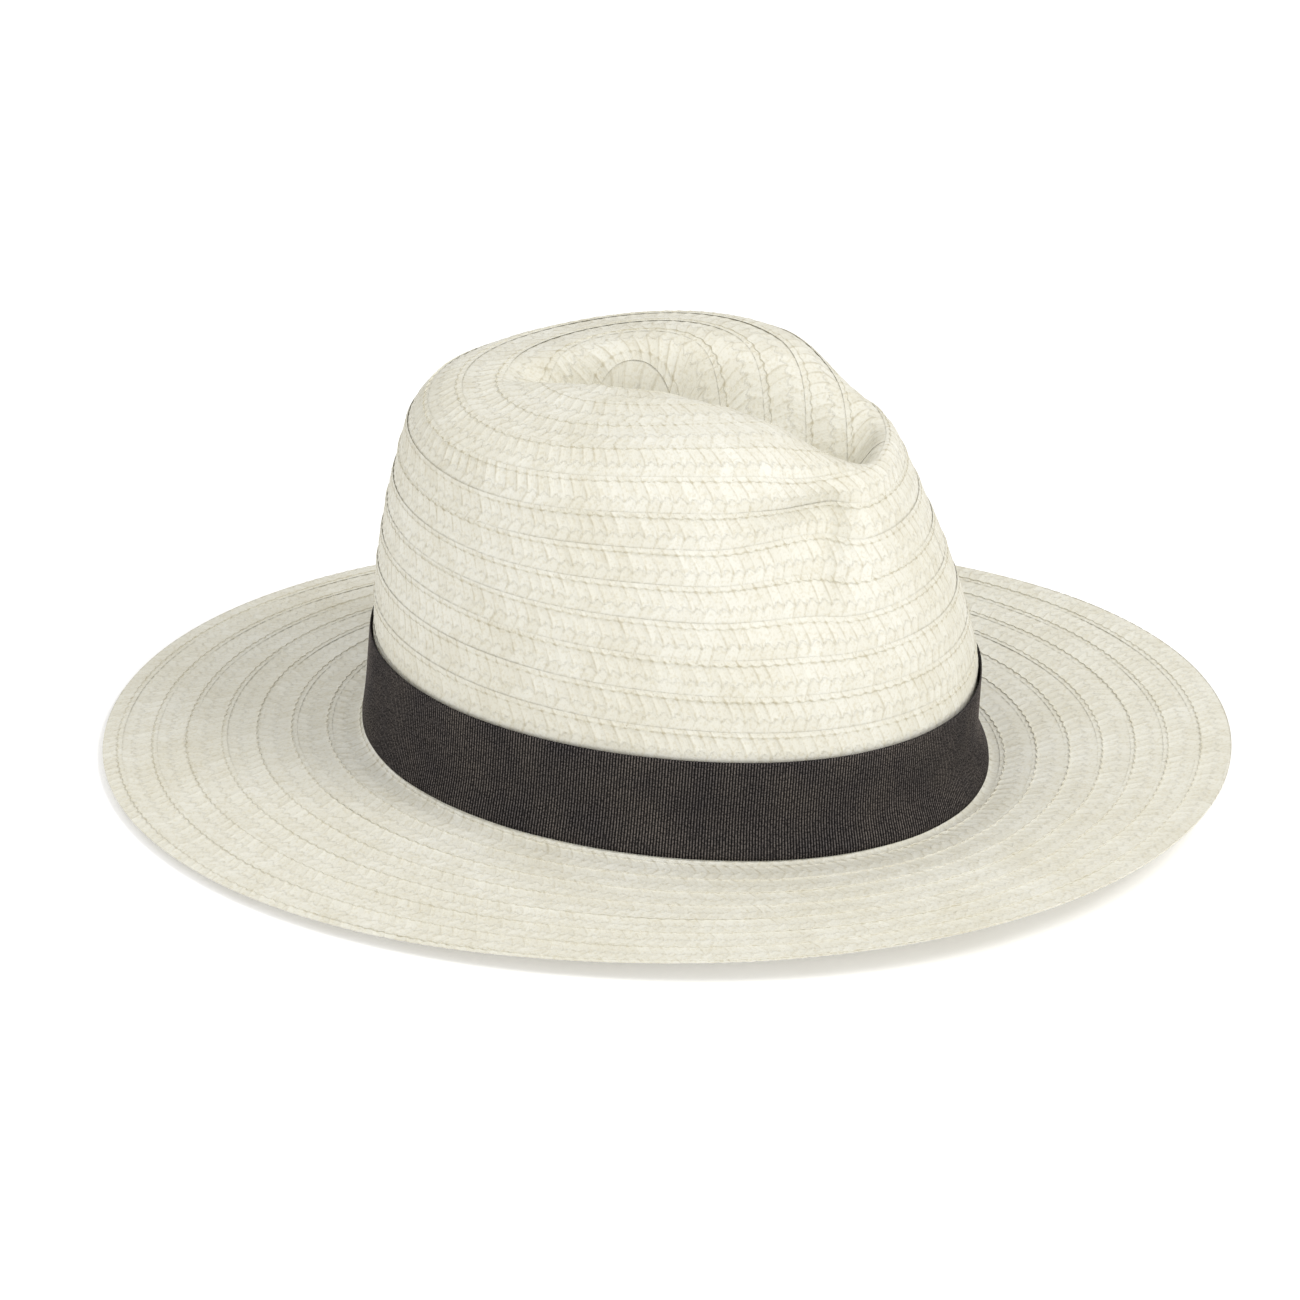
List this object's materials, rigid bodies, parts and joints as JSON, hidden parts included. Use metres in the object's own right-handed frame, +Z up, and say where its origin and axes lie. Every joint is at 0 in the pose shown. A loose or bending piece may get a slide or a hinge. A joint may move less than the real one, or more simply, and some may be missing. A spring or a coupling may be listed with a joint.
{
  "type": "panama hat",
  "caption": "Wide-brimmed sun hat of sewn straw braid with a centre-crease crown, pinched front, ribbon band and flat bow.",
  "frame": {"origin": "on the surface that the hat stands on, below the centre of the brim's outline", "axes": "+Z up through the crown, -Y towards the front of the hat, +X towards the wearer's left"},
  "size_m": [0.3194, 0.3769, 0.1442],
  "materials": {
    "straw": "ivory paper straw, flat herringbone braid",
    "ribbon": "black ribbed grosgrain",
    "sweatband": "ivory ribbed cotton tape",
    "label": "white woven satin, blank"
  },
  "bodies": {
    "root": {"crown": "straw", "tip_button": "straw", "brim": "straw", "brim_edge_braid": "straw", "hat_band": "ribbon", "band_bow": "ribbon", "bow_keeper": "ribbon", "sweatband": "sweatband", "seam_tape": "sweatband", "size_label": "label", "care_label": "label"}
  },
  "joints": []
}
